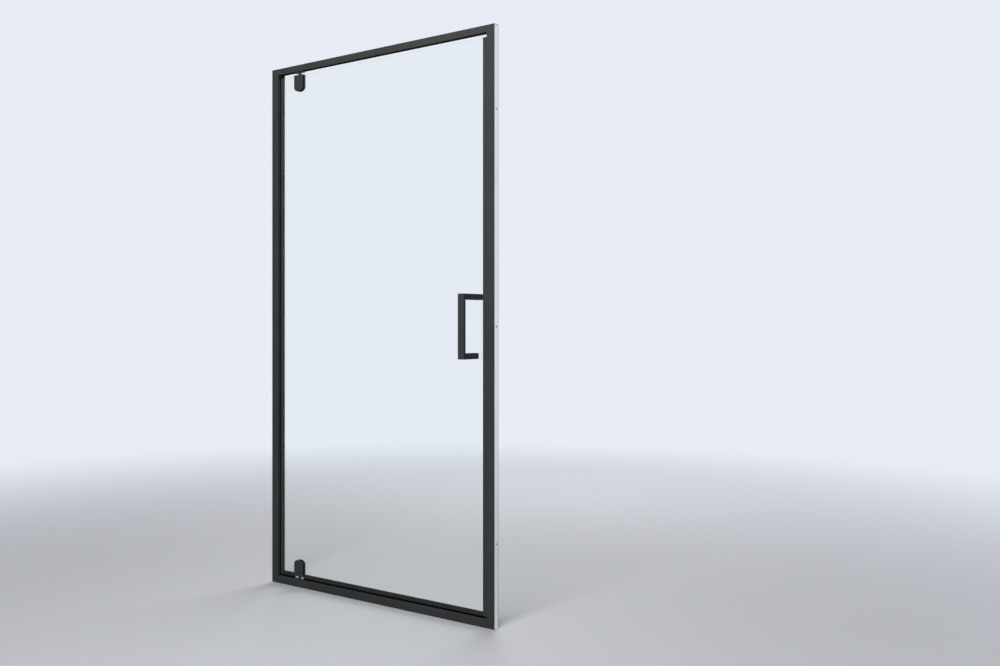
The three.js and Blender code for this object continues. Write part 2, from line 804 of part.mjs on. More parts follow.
// Pin: a journal that stands on the base plate, and a stub through the plate and the trough's floor
function pivotPin(plateTop, glassEdge) {
  const foot = plateTop + seat;
  const top = glassEdge + pinDepth;
  const profile = [
    [0, -pinStubLength],
    [pinStubRadius, -pinStubLength],
    [pinStubRadius, foot],
    [pinRadius, foot],
    [pinRadius, top - pinChamfer],
    [pinRadius - pinChamfer, top],
    [0, top],
  ];
  return turned(profile, pivotSteps);
}

const plateScrewPlaces = [-1, 1].map((way) => (way * plateScrewSpacing) / 2);
function basePlate(plateTop, fixing) {
  const halfLength = basePlateLength / 2;
  const halfPlate = basePlateWidth / 2;
  const alongX = halfLength - basePlateCorner;
  const alongY = halfPlate - basePlateCorner;
  const corners = [
    { middle: [alongX, alongY], start: 0 },
    { middle: [-alongX, alongY], start: Math.PI / 2 },
    { middle: [-alongX, -alongY], start: Math.PI },
    { middle: [alongX, -alongY], start: (3 * Math.PI) / 2 },
  ];
  const round = [basePlateCorner, basePlateCorner];
  const points = corners.flatMap(({ middle, start }) =>
    ellipse(middle, round, [start, start + Math.PI / 2], roundSteps),
  );
  const plate = extrude(outlineOf(points), 'z', [seat, plateTop]);
  const pinHole = rod('z', pinStubRadius + fit, [-overrun, plateTop + overrun], pivotSteps);
  const sinks = plateScrewPlaces.map((x) => sinkFor(fixing).translate(x, 0, plateTop));
  return cut(plate, [pinHole, ...sinks]);
}

// Each pivot is drawn as the lower one, from the floor of its rail's trough, and the upper one is turned over
const pivots = [
  {
    name: 'lower',
    floor: thresholdFace - troughDepth,
    glassEdge: glassBottom,
    plateProud: lowerPlateProud,
    turn: 0,
  },
  {
    name: 'upper',
    floor: headerUnderside + troughDepth,
    glassEdge: glassTop,
    plateProud: upperPlateProud,
    turn: Math.PI,
  },
];
for (const { name, floor, glassEdge, plateProud, turn } of pivots) {
  const fixed = new THREE.Group();
  const moving = new THREE.Group();
  fixed.position.set(pivotX, 0, floor);
  moving.position.set(pivotX, 0, glassEdge);
  fixed.rotation.y = turn;
  moving.rotation.y = turn;
  frame.add(fixed);
  leaf.add(moving);
  const gap = Math.abs(glassEdge - floor);
  const plateTop = troughDepth + plateProud;
  const fixing = { ...plateScrew, length: plateTop + frameWall + plateScrewReach };
  addPiece(fixed, `${name}_pivot_plate`, basePlate(plateTop, fixing), finish.hardware);
  addPiece(fixed, `${name}_pivot_pin`, pivotPin(plateTop, gap), finish.hardware);
  plateScrewPlaces.forEach((x, i) => {
    addPiece(fixed, `${name}_plate_screw_${i + 1}`, flatHeadScrew(fixing), finish.steel, [x, 0, plateTop]);
  });
  const clamps = hingeClamps();
  addPiece(moving, `${name}_outer_clamp`, clamps.outer, finish.hardware);
  addPiece(moving, `${name}_inner_clamp`, clamps.inner, finish.hardware);
  addPiece(moving, `${name}_outer_gasket`, gasket(), finish.rubber, [0, -gasketOuter, 0]);
  addPiece(moving, `${name}_inner_gasket`, gasket(), finish.rubber, [0, glassFace + seat, 0]);
  addPiece(moving, `${name}_pivot_bush`, bush(), finish.blackNylon);
  clampScrewPlaces.forEach(([x, z], i) => {
    const bolt = flatHeadScrew(clampBolt);
    const place = [x, clampFace, z];
    addPiece(moving, `${name}_clamp_screw_${i + 1}`, bolt, finish.steel, place, facing.back);
  });
}

// Pull handle: a flat bar and two arms in one D, drawn in Y and Z and as wide as the bar
const handleTop = handleHeight + handleLength / 2;
const handleFoot = handleHeight - handleLength / 2;
const barBack = handleBar - handleFront;
const handleOutline = outlineOf([
  [-handleFront, handleFoot],
  [-footFace, handleFoot],
  [-footFace, handleFoot + handleArm],
  [barBack, handleFoot + handleArm],
  [barBack, handleTop - handleArm],
  [-footFace, handleTop - handleArm],
  [-footFace, handleTop],
  [-handleFront, handleTop],
]);
const handleSpan = [handleX - handleWidth / 2, handleX + handleWidth / 2];
const boltEnd = -footFace - boltGrip;
const gripHoles = Object.values(handleFixings).map((height) =>
  rod('y', boltRadius + fit, [boltEnd - fit, overrun]).translate(handleX, 0, height),
);
const handleBody = cut(extrude(handleOutline, 'x', handleSpan, handleChamfer), gripHoles);
addPiece(leaf, 'pull_handle', handleBody, finish.hardware);

// A block with the section of the handle's arm, lying along Y
function footBlock([front, back], inset, chamfer) {
  const halfX = handleWidth / 2 - inset;
  const halfZ = handleArm / 2 - inset;
  return extrude(outlineOf(rectangle([-halfX, halfX], [-halfZ, halfZ])), 'y', [front, back], chamfer);
}

const innerFace = glassFace + seat;
const padFront = -glassFace - seat - padThickness;
const padHole = rod('y', boltRadius + fit, [padFront - overrun, overrun]);
const pad = () => cut(footBlock([padFront, padFront + padThickness], padMargin, 0), [padHole]);
const sleeve = () => ring(sleeveInner, sleeveOuter, [-glassFace, glassFace], screwSteps);
for (const [name, height] of Object.entries(handleFixings)) {
  const place = [handleX, 0, height];
  addPiece(leaf, `${name}_handle_pad`, pad(), finish.blackNylon, place);
  addPiece(leaf, `${name}_handle_sleeve`, sleeve(), finish.blackNylon, place, facing.back);
}

// Inside the shower: a knob on a stud at the upper fixing, and a cap under a bolt's head at the lower one
const knobHole = rod('y', boltRadius + fit, [-overrun, innerFace + studGrip + fit]);
const knob = cut(footBlock([innerFace, innerFace + knobLength], 0, handleChamfer), [knobHole]);
addPiece(leaf, 'inner_knob', knob, finish.hardware, [handleX, 0, handleFixings.upper]);
const stud = rod('y', boltRadius, [boltEnd, innerFace + studGrip]);
addPiece(leaf, 'upper_handle_stud', stud, finish.steel, [handleX, 0, handleFixings.upper]);

const capFace = innerFace + capThickness;
const lowerBolt = { ...handleBolt, length: capFace - boltEnd };
const capSink = sinkFor(lowerBolt).rotateX(facing.back[0]).translate(0, capFace, 0);
const cap = cut(footBlock([innerFace, capFace], 0, handleChamfer), [capSink]);
addPiece(leaf, 'inner_cap', cap, finish.hardware, [handleX, 0, handleFixings.lower]);
const boltPlace = [handleX, capFace, handleFixings.lower];
addPiece(leaf, 'lower_handle_bolt', flatHeadScrew(lowerBolt), finish.steel, boltPlace, facing.back);

export default door;
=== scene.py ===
import math

import bmesh
import bpy
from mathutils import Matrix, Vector


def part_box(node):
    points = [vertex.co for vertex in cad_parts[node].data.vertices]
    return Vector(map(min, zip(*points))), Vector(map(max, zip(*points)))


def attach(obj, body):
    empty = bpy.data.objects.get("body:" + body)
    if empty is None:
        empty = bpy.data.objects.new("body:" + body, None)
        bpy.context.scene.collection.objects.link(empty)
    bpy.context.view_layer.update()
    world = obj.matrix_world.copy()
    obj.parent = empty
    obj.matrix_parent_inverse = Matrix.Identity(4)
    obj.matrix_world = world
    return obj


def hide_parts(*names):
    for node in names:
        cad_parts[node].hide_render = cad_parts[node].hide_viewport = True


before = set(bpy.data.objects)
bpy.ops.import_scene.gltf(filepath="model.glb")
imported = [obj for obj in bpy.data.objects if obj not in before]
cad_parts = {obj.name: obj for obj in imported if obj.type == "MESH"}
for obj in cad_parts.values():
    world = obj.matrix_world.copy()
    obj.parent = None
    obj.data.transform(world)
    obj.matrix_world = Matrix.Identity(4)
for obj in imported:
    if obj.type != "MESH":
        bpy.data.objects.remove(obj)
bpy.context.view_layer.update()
scene = bpy.context.scene
scene.view_settings.view_transform = "Standard"

# Camera: it stands to the right of the doorway, at half the door's height, and looks level at it,
# turned 36 degrees to the left. The small shift puts the horizon where the photograph has it.
camera = bpy.data.objects.new("camera", bpy.data.cameras.new("camera"))
camera.data.sensor_width = 36
camera.data.lens = 37.07
camera.data.shift_y = -0.0102
camera.location = (2.3663, -2.5355, 0.9364)
camera.rotation_euler = (math.radians(90), 0, math.radians(36.15))
scene.collection.objects.link(camera)
scene.camera = camera


# Jambs and rails: aluminium extrusions with a satin black coat, cut to length and screwed into a
# frame. Each rail has a trough for its pivot, and the threshold's front edge is slanted. The die
# leaves faint lines along them.
def wire(tree, kind, inputs, **settings):
    """A new node with its settings, each input set to a value or fed by another node's output."""
    node = tree.nodes.new(kind)
    for name, value in settings.items():
        setattr(node, name, value)
    for name, value in inputs.items():
        if isinstance(value, bpy.types.NodeSocket):
            tree.links.new(value, node.inputs[name])
        else:
            node.inputs[name].default_value = value
    return node


def new_material(name):
    """A material with no nodes but the piece's own coordinates to draw on."""
    material = bpy.data.materials.new(name)
    material.use_nodes = True
    tree = material.node_tree
    tree.nodes.clear()
    coordinates = wire(tree, "ShaderNodeTexCoord", {}).outputs["Object"]
    return material, tree, coordinates


def show(tree, surface):
    """The material's output, fed by its finished surface."""
    wire(tree, "ShaderNodeOutputMaterial", {"Surface": surface})


def noise(tree, coordinates, lumps, detail=2.0, stretch=(1, 1, 1)):
    """A noise in lumps per metre, drawn out along an axis whose share in stretch is small."""
    drawn = wire(tree, "ShaderNodeMapping", {"Vector": coordinates, "Scale": stretch})
    inputs = {"Vector": drawn.outputs["Vector"], "Scale": lumps, "Detail": detail}
    return wire(tree, "ShaderNodeTexNoise", inputs).outputs["Fac"]


NOISE_DARK, NOISE_PALE = 0.3, 0.7  # nearly all of a noise lies between these


def between(tree, factor, low, high):
    """A number that goes from low to high as a noise goes from its dark to its pale parts."""
    inputs = {
        "Value": factor,
        "From Min": NOISE_DARK,
        "From Max": NOISE_PALE,
        "To Min": low,
        "To Max": high,
    }
    return wire(tree, "ShaderNodeMapRange", inputs).outputs["Result"]


MIX_SOCKETS = {"FLOAT": (2, 3, 0), "RGBA": (6, 7, 2)}  # the two inputs and the output of each kind


def mixed(tree, share, first, second, kind="RGBA"):
    """Two colours or two numbers mixed, with this share of the second."""
    low, high, out = MIX_SOCKETS[kind]
    inputs = {0: share, low: first, high: second}
    return wire(tree, "ShaderNodeMix", inputs, data_type=kind).outputs[out]


def blended(tree, factor, dark, pale):
    """A colour that goes from dark to pale by a noise."""
    return mixed(tree, between(tree, factor, 0, 1), (*dark, 1), (*pale, 1))


def bumped(tree, height, depth, below=None):
    """The normal of a relief that is this many metres deep, laid over another one."""
    inputs = {"Height": height, "Distance": depth, "Strength": 1.0}
    if below is not None:
        inputs["Normal"] = below
    return wire(tree, "ShaderNodeBump", inputs).outputs["Normal"]


ALONG = {"x": (0.004, 1, 1), "z": (1, 1, 0.004)}  # stretches a noise into lines along an axis


def satin_black(name, dark, pale, along=None, roughness=(0.5, 0.6)):
    """A satin black coat with a fine grain, on metal that may have die lines along an axis."""
    material, tree, coordinates = new_material(name)
    tone = noise(tree, coordinates, lumps=7, detail=3)
    grain = noise(tree, coordinates, lumps=2600, detail=1)
    relief = bumped(tree, grain, depth=0.00002)
    if along:
        lines = noise(tree, coordinates, lumps=900, detail=3, stretch=ALONG[along])
        relief = bumped(tree, lines, depth=0.00003, below=relief)
        lines_share = 0.35
        tone = mixed(tree, lines_share, tone, lines, "FLOAT")
    inputs = {
        "Base Color": blended(tree, tone, dark, pale),
        "Roughness": between(tree, grain, *roughness),
        "Specular IOR Level": 0.05,
        "Normal": relief,
    }
    show(tree, wire(tree, "ShaderNodeBsdfPrincipled", inputs).outputs["BSDF"])
    return material


SAME_PLACE = 1e-6  # metres; vertices nearer than this are one
FLAT = math.radians(0.5)  # facets that turn less than this are one face
SHARP = math.radians(30)  # edges that turn more than this are rounded
SMOOTH = math.radians(40)  # facets that turn less than this look like one surface


def rounded_copy(name, node, body, material, radius, steps=2, wary=True):
    """A merged copy of a CAD node with its edges rounded, in its place and on its body.

    Where a node has small details, a wary rounding is held back everywhere by the smallest one.
    """
    shape = bmesh.new()
    shape.from_mesh(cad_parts[node].data)
    bmesh.ops.remove_doubles(shape, verts=shape.verts, dist=SAME_PLACE)
    bmesh.ops.dissolve_limit(shape, angle_limit=FLAT, verts=shape.verts, edges=shape.edges)
    edges = [edge for edge in shape.edges if edge.is_manifold and edge.calc_face_angle() > SHARP]
    bmesh.ops.bevel(
        shape,
        geom=edges,
        offset=radius,
        offset_type="OFFSET",
        segments=steps,
        profile=0.5,
        affect="EDGES",
        clamp_overlap=wary,
    )
    bmesh.ops.triangulate(shape, faces=[face for face in shape.faces if len(face.verts) > 4])
    mesh = bpy.data.meshes.new(name)
    shape.to_mesh(mesh)
    shape.free()
    return placed(name, mesh, body, material, [node])


def placed(name, mesh, body, material, nodes):
    """The finished piece of this mesh, smooth over its small angles, in its nodes' stead."""
    mesh.materials.clear()
    mesh.materials.append(material)
    mesh.shade_smooth()
    mesh.set_sharp_from_angle(angle=SMOOTH)
    piece = bpy.data.objects.new(name, mesh)
    scene.collection.objects.link(piece)
    even = piece.modifiers.new("even", "WEIGHTED_NORMAL")
    even.keep_sharp = True
    graph = bpy.context.evaluated_depsgraph_get()
    piece.data = bpy.data.meshes.new_from_object(piece.evaluated_get(graph))
    piece.modifiers.clear()
    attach(piece, body)
    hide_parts(*nodes)
    return piece


coat_colours = (0.032, 0.034, 0.034), (0.042, 0.0442, 0.0442)
upright_black = satin_black("upright_satin_black", *coat_colours, along="z")
level_black = satin_black("level_satin_black", *coat_colours, along="x")
for node, coat in {
    "hinge_jamb": upright_black,
    "strike_jamb": upright_black,
    "header_rail": level_black,
    "threshold_rail": level_black,
}.items():
    rounded_copy(f"coated_{node}", node, "frame", coat, radius=0.0003, wary=False)


# Wall channels: plain mill-finish aluminium, fixed upright first, so that the jambs can slide over
# them and be locked. They have the pale, slightly streaky look of metal straight from the die.
def mill_aluminium(name):
    """Bare aluminium with soft upright streaks and faint clouds."""
    material, tree, coordinates = new_material(name)
    streaks = noise(tree, coordinates, lumps=700, detail=4, stretch=ALONG["z"])
    clouds = noise(tree, coordinates, lumps=12, detail=3)
    inputs = {
        "Base Color": blended(tree, clouds, (0.84, 0.85, 0.86), (0.91, 0.92, 0.93)),
        "Metallic": 1.0,
        "Roughness": between(tree, streaks, 0.32, 0.5),
        "Normal": bumped(tree, streaks, depth=0.00003),
    }
    show(tree, wire(tree, "ShaderNodeBsdfPrincipled", inputs).outputs["BSDF"])
    return material


channel_metal = mill_aluminium("mill_aluminium")
for side in ("hinge", "strike"):
    node = f"{side}_wall_channel"
    rounded_copy(
        f"mill_{node}", node, "frame", channel_metal, radius=0.0002, wary=False
    )


# Jamb caps: moulded black nylon with a fine eroded texture, pushed into the tops of the jambs. The
# same nylon makes the bushes of the hinges and the pads and sleeves of the handle.
def moulded(name, dark, pale, roughness):
    """Injection moulded plastic with the fine grain of its mould."""
    material, tree, coordinates = new_material(name)
    grain = noise(tree, coordinates, lumps=1500, detail=2)
    inputs = {
        "Base Color": blended(tree, grain, dark, pale),
        "Roughness": between(tree, grain, *roughness),
        "Specular IOR Level": 0.2,
        "Normal": bumped(tree, grain, depth=0.00003),
    }
    show(tree, wire(tree, "ShaderNodeBsdfPrincipled", inputs).outputs["BSDF"])
    return material


black_nylon = moulded(
    "black_nylon", (0.02, 0.0212, 0.0212), (0.03, 0.0315, 0.0315), roughness=(0.54, 0.66)
)
for side in ("hinge", "strike"):
    node = f"{side}_jamb_cap"
    rounded_copy(f"moulded_{node}", node, "frame", black_nylon, radius=0.0003)


# Screws: stainless steel, turned and thread-rolled, with a hexagon socket. One tree makes them all:
# it turns a profile, rolls the thread on, presses the socket into the head and sets a screw in
# each hole.
def stainless(name):
    """Turned stainless steel with fine rings of wear."""
    material, tree, coordinates = new_material(name)
    rings = noise(tree, coordinates, lumps=2200, detail=3)
    inputs = {
        "Base Color": blended(tree, rings, (0.42, 0.43, 0.44), (0.56, 0.57, 0.58)),
        "Metallic": 1.0,
        "Roughness": between(tree, rings, 0.26, 0.42),
        "Normal": bumped(tree, rings, depth=0.00001),
    }
    show(tree, wire(tree, "ShaderNodeBsdfPrincipled", inputs).outputs["BSDF"])
    return material


steel = stainless("stainless_steel")


def screw_tree():
    """A tree that sets a socket screw on each vertex of a mesh, seated there by its shank's top."""
    tree = bpy.data.node_groups.new("socket_screws", "GeometryNodeTree")
    tree.interface.new_socket("Seats", in_out="INPUT", socket_type="NodeSocketGeometry")
    for name in (
        "Tip Radius",
        "Shank Radius",
        "Shank Length",
        "Head Foot",
        "Head Radius",
        "Rim Foot",
        "Rim Top",
        "Top Radius",
        "Head Top",
        "Socket Radius",
        "Socket Depth",
        "Thread Pitch",
        "Thread Depth",
    ):
        tree.interface.new_socket(name, in_out="INPUT", socket_type="NodeSocketFloat")
    tree.interface.new_socket("Facing", in_out="INPUT", socket_type="NodeSocketVector")
    tree.interface.new_socket("Finish", in_out="INPUT", socket_type="NodeSocketMaterial")
    tree.interface.new_socket("Screws", in_out="OUTPUT", socket_type="NodeSocketGeometry")
    size = tree.nodes.new("NodeGroupInput").outputs

    def maths(operation, a, b=0.0):
        return wire(tree, "ShaderNodeMath", {0: a, 1: b}, operation=operation).outputs[0]

    # The turned body: a tube of six rings, from 0 at the tip to 5 at the top of the head, a metre
    # apart at first. Each ring is then moved to its own height and drawn in to its own radius.
    last = 5
    blank = wire(
        tree,
        "GeometryNodeMeshCylinder",
        {"Vertices": 24, "Side Segments": last, "Radius": 1.0, "Depth": last},
    )
    place = wire(tree, "GeometryNodeInputPosition", {}).outputs[0]
    parts = wire(tree, "ShaderNodeSeparateXYZ", {0: place})
    ring = maths("ROUND", maths("ADD", parts.outputs["Z"], last / 2))
    end = maths("MULTIPLY", size["Shank Length"], -1.0)
    neck = maths("ADD", end, size["Tip Radius"])
    radii = [size[n] for n in ("Tip Radius", "Shank Radius", "Shank Radius")]
    radii += [size["Head Radius"], size["Head Radius"], size["Top Radius"]]
    heights = [end, neck, size["Head Foot"], size["Rim Foot"], size["Rim Top"], size["Head Top"]]
    chosen = []
    for values in (radii, heights):
        pick = tree.nodes.new("GeometryNodeIndexSwitch")
        pick.data_type = "FLOAT"
        while len(pick.index_switch_items) < len(values):
            pick.index_switch_items.new()
        tree.links.new(ring, pick.inputs["Index"])
        for socket, value in zip(list(pick.inputs)[1:], values):
            tree.links.new(value, socket)
        chosen.append(pick.outputs[0])
    radius, height = chosen
    point = wire(
        tree,
        "ShaderNodeCombineXYZ",
        {
            "X": maths("MULTIPLY", parts.outputs["X"], radius),
            "Y": maths("MULTIPLY", parts.outputs["Y"], radius),
            "Z": height,
        },
    ).outputs[0]
    body = wire(
        tree, "GeometryNodeSetPosition", {"Geometry": blank.outputs["Mesh"], "Position": point}
    )

    # The thread: a ridge that winds up the shank, from above the tip to below the head
    threaded = maths("SUBTRACT", size["Head Foot"], maths("ADD", neck, size["Thread Pitch"]))
    winding = wire(
        tree,
        "GeometryNodeCurveSpiral",
        {
            "Resolution": 16,
            "Rotations": maths("DIVIDE", threaded, size["Thread Pitch"]),
            "Start Radius": size["Shank Radius"],
            "End Radius": size["Shank Radius"],
            "Height": threaded,
        },
    )
    upright = wire(
        tree, "GeometryNodeSetCurveNormal", {"Curve": winding.outputs[0]}, mode="Z_UP"
    )
    ridge = wire(
        tree,
        "GeometryNodeCurvePrimitiveCircle",
        {"Resolution": 4, "Radius": size["Thread Depth"]},
        mode="RADIUS",
    )
    rolled = wire(
        tree,
        "GeometryNodeCurveToMesh",
        {"Curve": upright.outputs[0], "Profile Curve": ridge.outputs[0], "Fill Caps": True},
    )
    lift = wire(tree, "ShaderNodeCombineXYZ", {"Z": neck}).outputs[0]
    thread = wire(
        tree, "GeometryNodeTransform", {"Geometry": rolled.outputs[0], "Translation": lift}
    )
    joined = wire(tree, "GeometryNodeMeshBoolean", {}, operation="UNION", solver="EXACT")
    tree.links.new(body.outputs[0], joined.inputs["Mesh 2"])
    tree.links.new(thread.outputs[0], joined.inputs["Mesh 2"])

    # The socket, cut out of the head by a six-sided punch that stands past it by as much again
    punch = wire(
        tree,
        "GeometryNodeMeshCylinder",
        {
            "Vertices": 6,
            "Radius": size["Socket Radius"],
            "Depth": maths("MULTIPLY", size["Socket Depth"], 2.0),
        },
    )
    top = wire(tree, "ShaderNodeCombineXYZ", {"Z": size["Head Top"]}).outputs[0]
    raised = wire(
        tree, "GeometryNodeTransform", {"Geometry": punch.outputs[0], "Translation": top}
    )
    screw = wire(
        tree,
        "GeometryNodeMeshBoolean",
        {"Mesh 1": joined.outputs[0], "Mesh 2": raised.outputs[0]},
        operation="DIFFERENCE",
        solver="EXACT",
    )

    # A screw on each seat, turned so that its head faces out of the hole
    turn = wire(
        tree, "FunctionNodeAlignRotationToVector", {"Vector": size["Facing"]}, axis="Z"
    )
    set_in = wire(
        tree,
        "GeometryNodeInstanceOnPoints",
        {"Points": size["Seats"], "Instance": screw.outputs[0], "Rotation": turn.outputs[0]},
    )
    real = wire(tree, "GeometryNodeRealizeInstances", {"Geometry": set_in.outputs[0]})
    done = wire(
        tree,
        "GeometryNodeSetMaterial",
        {"Geometry": real.outputs[0], "Material": size["Finish"]},
    )
    wire(tree, "NodeGroupOutput", {"Screws": done.outputs[0]})
    return tree


SCREWS = screw_tree()
HEADS = {  # the foot and top of the rim in head heights, and the top's radius in head radii
    "pan": {"rim": (0, 0.5), "top": 0.7},
    "flat": {"rim": (-0.08, 0), "top": 0.9},
}
TIP_SHARE = 0.6  # of the shank's radius
SOCKET_SHARE = 0.5  # of the head's radius
SOCKET_DEPTH_SHARE = 0.55  # of the head's height
THREAD_DEPTH = 0.00022


def set_screws(name, body, nodes, facing, head, head_radius, head_height, shank_radius, pitch):
    """Screws of one size in the places of these CAD nodes, with their heads facing one way."""
    facing = Vector(facing)
    axis = max(range(3), key=lambda i: abs(facing[i]))
    above = head_height if head == "pan" else 0.0
    seats = []
    for node in nodes:
        low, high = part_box(node)
        seat = (low + high) / 2
        outer = high[axis] if facing[axis] > 0 else low[axis]
        seat[axis] = outer - facing[axis] * above
        seats.append(seat)
    mesh = bpy.data.meshes.new(name)
    mesh.from_pydata(seats, [], [])
    holder = bpy.data.objects.new(name, mesh)
    scene.collection.objects.link(holder)
    modifier = holder.modifiers.new("screws", "NODES")
    modifier.node_group = SCREWS
    rim_foot, rim_top = HEADS[head]["rim"]
    sizes = {
        "Tip Radius": TIP_SHARE * shank_radius,
        "Shank Radius": shank_radius,
        "Shank Length": high[axis] - low[axis] - above,
        "Head Foot": above - head_height,
        "Head Radius": head_radius,
        "Rim Foot": rim_foot * head_height,
        "Rim Top": rim_top * head_height,
        "Top Radius": HEADS[head]["top"] * head_radius,
        "Head Top": above,
        "Socket Radius": SOCKET_SHARE * head_radius,
        "Socket Depth": SOCKET_DEPTH_SHARE * head_height,
        "Thread Pitch": pitch,
        "Thread Depth": THREAD_DEPTH,
        "Facing": facing,
        "Finish": steel,
    }
    for item in SCREWS.interface.items_tree:
        if item.in_out == "INPUT" and item.name in sizes:
            modifier[item.identifier] = sizes[item.name]
    graph = bpy.context.evaluated_depsgraph_get()
    made = bpy.data.meshes.new_from_object(holder.evaluated_get(graph))
    bpy.data.objects.remove(holder)
    return placed(name, made, body, steel, nodes)


LOCK_SCREW = {
    "head": "pan",
    "head_radius": 0.0036,
    "head_height": 0.0019,
    "shank_radius": 0.0019,
    "pitch": 0.0007,
}
RAIL_SCREW = {
    "head": "pan",
    "head_radius": 0.0034,
    "head_height": 0.0022,
    "shank_radius": 0.0019,
    "pitch": 0.0012,
}
lock_screws = [f"{side}_lock_screw_{i}" for side in ("hinge", "strike") for i in (1, 2, 3)]
set_screws("lock_screws", "frame", lock_screws, (0, 1, 0), **LOCK_SCREW)
for side, facing in {"hinge": (-1, 0, 0), "strike": (1, 0, 0)}.items():
    ties = [f"header_screw_{side}", f"threshold_screw_{side}"]
    set_screws(f"rail_screws_{side}", "frame", ties, facing, **RAIL_SCREW)


# Closing seal on the strike jamb: a flexible strip with a magnet pushed into its pocket. The strip
# is matt, with the faint lengthwise lines of its die. Its colour is a little paler than the frame's
# coat, painted light that makes up for the shade it sits in between trim and jamb, and below the
# magnet its foot is painted near black, painted shade for the dark gap over the threshold.
def flexible(name, dark, pale, along, foot=None):
    """Extruded rubber between two colours; below a height, painted shade in two others on its foot.
    """
    material, tree, coordinates = new_material(name)
    lines = noise(tree, coordinates, lumps=1200, detail=2, stretch=ALONG[along])
    dust = noise(tree, coordinates, lumps=60, detail=4)
    colour = blended(tree, dust, dark, pale)
    # painted shade: below this height the rubber is drawn in the near-black shade colours
    if foot:
        below, shade_dark, shade_pale = foot
        height = wire(tree, "ShaderNodeSeparateXYZ", {0: coordinates}).outputs["Z"]
        in_painted_shade = wire(tree, "ShaderNodeMath", {0: height, 1: below}, operation="LESS_THAN")
        painted_shade_colour = blended(tree, dust, shade_dark, shade_pale)
        colour = mixed(tree, in_painted_shade.outputs[0], colour, painted_shade_colour)
    inputs = {
        "Base Color": colour,
        "Roughness": between(tree, lines, 0.68, 0.8),
        "Specular IOR Level": 0.04,
        "Normal": bumped(tree, lines, depth=0.00005),
    }
    show(tree, wire(tree, "ShaderNodeBsdfPrincipled", inputs).outputs["BSDF"])
    return material


def finished(node, material):
    """A CAD node whose shape is right already gets its finish."""
    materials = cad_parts[node].data.materials
    materials.clear()
    materials.append(material)


# near black: painted shade, on the strike seals' foot and on the whole hinge bulb seal and gaskets
black_with_painted_shade = (0.004, 0.0042, 0.0043), (0.007, 0.0072, 0.0073)
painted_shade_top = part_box("jamb_magnet")[0].z
# paler than the frame's coat: painted light that lifts the strike seals out of their shade
strip_rubber_painted_light_and_shade = flexible(
    "strip_rubber_painted_light_and_shade",
    (0.036, 0.0375, 0.038),
    (0.046, 0.048, 0.0485),
    along="z",
    foot=(painted_shade_top, *black_with_painted_shade),
)
magnet_strip = flexible(
    "magnet_strip", (0.035, 0.03, 0.027), (0.055, 0.048, 0.043), along="z"
)
rounded_copy(
    "soft_jamb_seal",
    "jamb_magnet_seal",
    "frame",
    strip_rubber_painted_light_and_shade,
    radius=0.0004,
    steps=3,
)
finished("jamb_magnet", magnet_strip)


# Pivots: a base plate is screwed into the trough of each rail, and a turned pin stands in it. Both
# are brass with a satin black coat, a little smoother than the coat on the frame.
hardware_black = satin_black(
    "hardware_satin_black",
    (0.031, 0.0322, 0.033),
    (0.038, 0.0395, 0.04),
    roughness=(0.42, 0.52),
)
PLATE_SCREW = {
    "head": "flat",
    "head_radius": 0.0036,
    "head_height": 0.0018,
    "shank_radius": 0.00175,
    "pitch": 0.0007,
}
for level, facing in {"lower": (0, 0, 1), "upper": (0, 0, -1)}.items():
    for part in ("plate", "pin"):
        node = f"{level}_pivot_{part}"
        rounded_copy(
            f"coated_{node}",
            node,
            "frame",
            hardware_black,
            radius=0.0003,
            steps=3,
        )
    plate_screws = [f"{level}_plate_screw_{i}" for i in (1, 2)]
    set_screws(f"{level}_plate_screws", "frame", plate_screws, facing, **PLATE_SCREW)


# Glass: one pane of clear toughened glass, 6 mm thick, notched for the hinge blocks and bored for
# the handle. Its edges are ground matt with a narrow arris, so they look a little green.
def clear_glass():
    """Each face lets nearly all light straight through, and mirrors more the flatter it is seen."""
    material, tree, coordinates = new_material("clear_glass")
    wipes = noise(tree, coordinates, lumps=9, detail=5, stretch=(1, 1, 0.35))
    roller = noise(tree, coordinates, lumps=4, detail=1, stretch=(0.15, 0.15, 1))
    slant = wire(tree, "ShaderNodeLayerWeight", {"Blend": 0.5}).outputs["Facing"]
    steepness = 5.0
    grazing = wire(tree, "ShaderNodeMath", {0: slant, 1: steepness}, operation="POWER")
    inputs = {"Value": grazing.outputs[0], "To Min": 0.04, "To Max": 1.0}
    mirrored = wire(tree, "ShaderNodeMapRange", inputs).outputs["Result"]
    through = wire(tree, "ShaderNodeBsdfTransparent", {"Color": (0.985, 0.995, 0.99, 1)})
    inputs = {
        "Color": (1, 1, 1, 1),
        "Roughness": between(tree, wipes, 0.0, 0.012),
        "Normal": bumped(tree, roller, depth=0.00002),
    }
    mirror = wire(tree, "ShaderNodeBsdfAnisotropic", inputs)
    inputs = {0: mirrored, 1: through.outputs["BSDF"], 2: mirror.outputs["BSDF"]}
    show(tree, wire(tree, "ShaderNodeMixShader", inputs).outputs["Shader"])
    return material


def ground_glass():
    """The matt edge of the pane, which still lets most light through."""
    material, tree, coordinates = new_material("ground_glass_edge")
    grit = noise(tree, coordinates, lumps=1800, detail=2)
    inputs = {
        "Color": blended(tree, grit, (0.5, 0.62, 0.57), (0.62, 0.74, 0.69)),
        "Normal": bumped(tree, grit, depth=0.00003),
    }
    matt = wire(tree, "ShaderNodeBsdfDiffuse", inputs)
    through = wire(tree, "ShaderNodeBsdfTransparent", {"Color": (0.95, 0.98, 0.97, 1)})
    share = between(tree, grit, 0.1, 0.2)
    inputs = {0: share, 1: through.outputs["BSDF"], 2: matt.outputs["BSDF"]}
    show(tree, wire(tree, "ShaderNodeMixShader", inputs).outputs["Shader"])
    return material


pane = rounded_copy(
    "clear_pane",
    "glass_panel",
    "door",
    clear_glass(),
    radius=0.0005,
    steps=1,
    wary=False,
)
pane.data.materials.append(ground_glass())
square_on = 0.99
for face in pane.data.polygons:
    face.material_index = int(abs(face.normal.y) < square_on)


